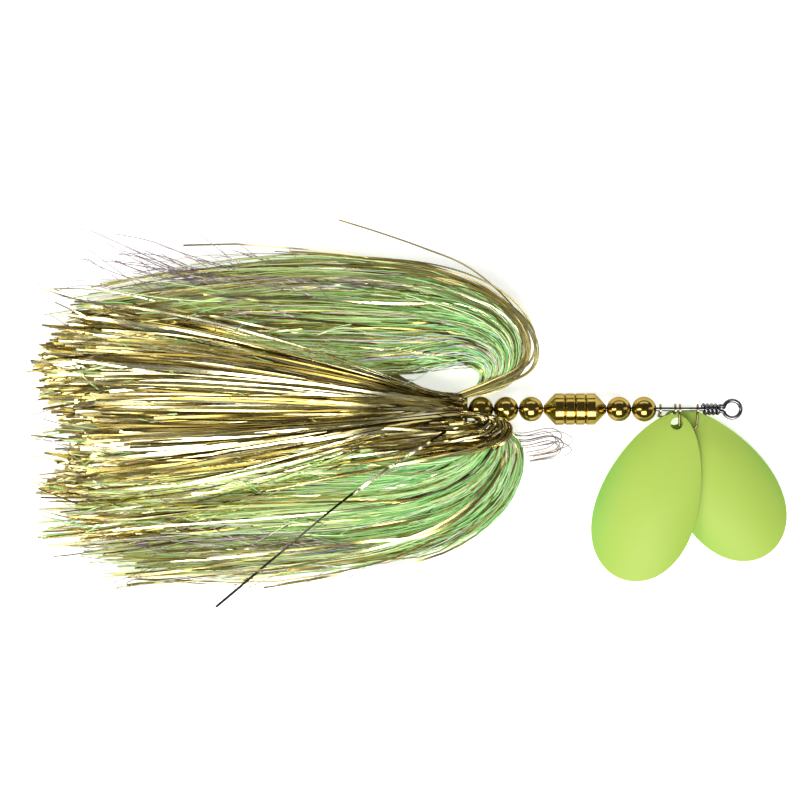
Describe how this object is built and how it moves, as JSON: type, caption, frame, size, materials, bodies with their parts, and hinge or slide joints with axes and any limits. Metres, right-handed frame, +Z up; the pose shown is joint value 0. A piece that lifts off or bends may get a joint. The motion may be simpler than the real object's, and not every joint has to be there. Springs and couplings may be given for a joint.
{
  "type": "spinnerbait",
  "caption": "In-line fishing spinner with cupped blades on clevises, brass beads and a barrel on a wire shaft, and a long tinsel skirt over treble hooks.",
  "frame": {"origin": "centre of the line-tie eye at the front of the shaft", "axes": "+X forward along the shaft, out of the line-tie eye; +Z up, square to the surface that the lure lies on; +Y to the lure's left"},
  "size_m": [0.2343, 0.1032, 0.0275],
  "materials": {
    "stainless_wire": "polished",
    "clevis_brass": "satin",
    "polished_brass": "polished",
    "blade_paint": "satin",
    "lashing_thread": "matte",
    "green_tinsel": "satin",
    "olive_tinsel": "satin",
    "gold_tinsel": "polished",
    "hook_steel": "polished"
  },
  "bodies": {
    "shaft": {"shaft_wire": "stainless_wire", "skirt_spool": "polished_brass", "thread_wrap": "lashing_thread", "green_skirt_left": "green_tinsel", "green_skirt_right": "green_tinsel", "olive_skirt_left": "olive_tinsel", "gold_skirt": "gold_tinsel", "front_hook_ring": "stainless_wire"},
    "front_clevis": {"front_clevis": "clevis_brass"},
    "front_blade": {"front_blade": "blade_paint"},
    "rear_clevis": {"rear_clevis": "clevis_brass"},
    "rear_blade": {"rear_blade": "blade_paint"},
    "bead_1": {"bead_1": "polished_brass"},
    "bead_2": {"bead_2": "polished_brass"},
    "barrel": {"barrel": "polished_brass"},
    "bead_3": {"bead_3": "polished_brass"},
    "bead_4": {"bead_4": "polished_brass"},
    "bead_5": {"bead_5": "polished_brass"},
    "spacer_bead_1": {"spacer_bead_1": "polished_brass"},
    "spacer_bead_2": {"spacer_bead_2": "polished_brass"},
    "front_hook": {"front_treble_hook": "hook_steel"},
    "rear_hook": {"rear_treble_hook": "hook_steel"}
  },
  "joints": [
    {"name": "front_clevis_spin", "type": "hinge", "parent": "shaft", "child": "front_clevis", "pos_m": [-0.0137, 0, 0], "axis": [1, 0, 0], "continuous": true},
    {"name": "rear_clevis_spin", "type": "hinge", "parent": "shaft", "child": "rear_clevis", "pos_m": [-0.02035, 0, 0], "axis": [1, 0, 0], "continuous": true},
    {"name": "front_blade_swing", "type": "hinge", "parent": "front_clevis", "child": "front_blade", "pos_m": [-0.0174, -0.00465, -0.0015], "axis": [-0.1413, -0.0448, 0.989], "range_deg": [0, 15]},
    {"name": "rear_blade_swing", "type": "hinge", "parent": "rear_clevis", "child": "rear_blade", "pos_m": [-0.0179, -0.00315, -0.0052], "axis": [0.0231, -0.0328, 0.9992], "range_deg": [0, 40]},
    {"name": "bead_1_spin", "type": "hinge", "parent": "shaft", "child": "bead_1", "pos_m": [-0.02795, 0, 0], "axis": [1, 0, 0], "continuous": true},
    {"name": "bead_2_spin", "type": "hinge", "parent": "shaft", "child": "bead_2", "pos_m": [-0.0359, 0, 0], "axis": [1, 0, 0], "continuous": true},
    {"name": "barrel_spin", "type": "hinge", "parent": "shaft", "child": "barrel", "pos_m": [-0.04985, 0, 0], "axis": [1, 0, 0], "continuous": true},
    {"name": "bead_3_spin", "type": "hinge", "parent": "shaft", "child": "bead_3", "pos_m": [-0.0638, 0, 0], "axis": [1, 0, 0], "continuous": true},
    {"name": "bead_4_spin", "type": "hinge", "parent": "shaft", "child": "bead_4", "pos_m": [-0.07175, 0, 0], "axis": [1, 0, 0], "continuous": true},
    {"name": "bead_5_spin", "type": "hinge", "parent": "shaft", "child": "bead_5", "pos_m": [-0.0797, 0, 0], "axis": [1, 0, 0], "continuous": true},
    {"name": "spacer_bead_1_spin", "type": "hinge", "parent": "shaft", "child": "spacer_bead_1", "pos_m": [-0.104, 0, 0], "axis": [1, 0, 0], "continuous": true},
    {"name": "spacer_bead_2_spin", "type": "hinge", "parent": "shaft", "child": "spacer_bead_2", "pos_m": [-0.1146, 0, 0], "axis": [1, 0, 0], "continuous": true},
    {"name": "front_hook_swing", "type": "hinge", "parent": "shaft", "child": "front_hook", "pos_m": [-0.1092, 0.0043, 0], "axis": [0, 0, -1], "range_deg": [-1.5, 10]},
    {"name": "rear_hook_swing", "type": "hinge", "parent": "shaft", "child": "rear_hook", "pos_m": [-0.158, 0, 0], "axis": [0, 0, 1], "range_deg": [-12, 12]}
  ],
  "couplings": [
    {"joint": "rear_clevis_spin", "follows": "front_clevis_spin", "ratio": 1}
  ]
}
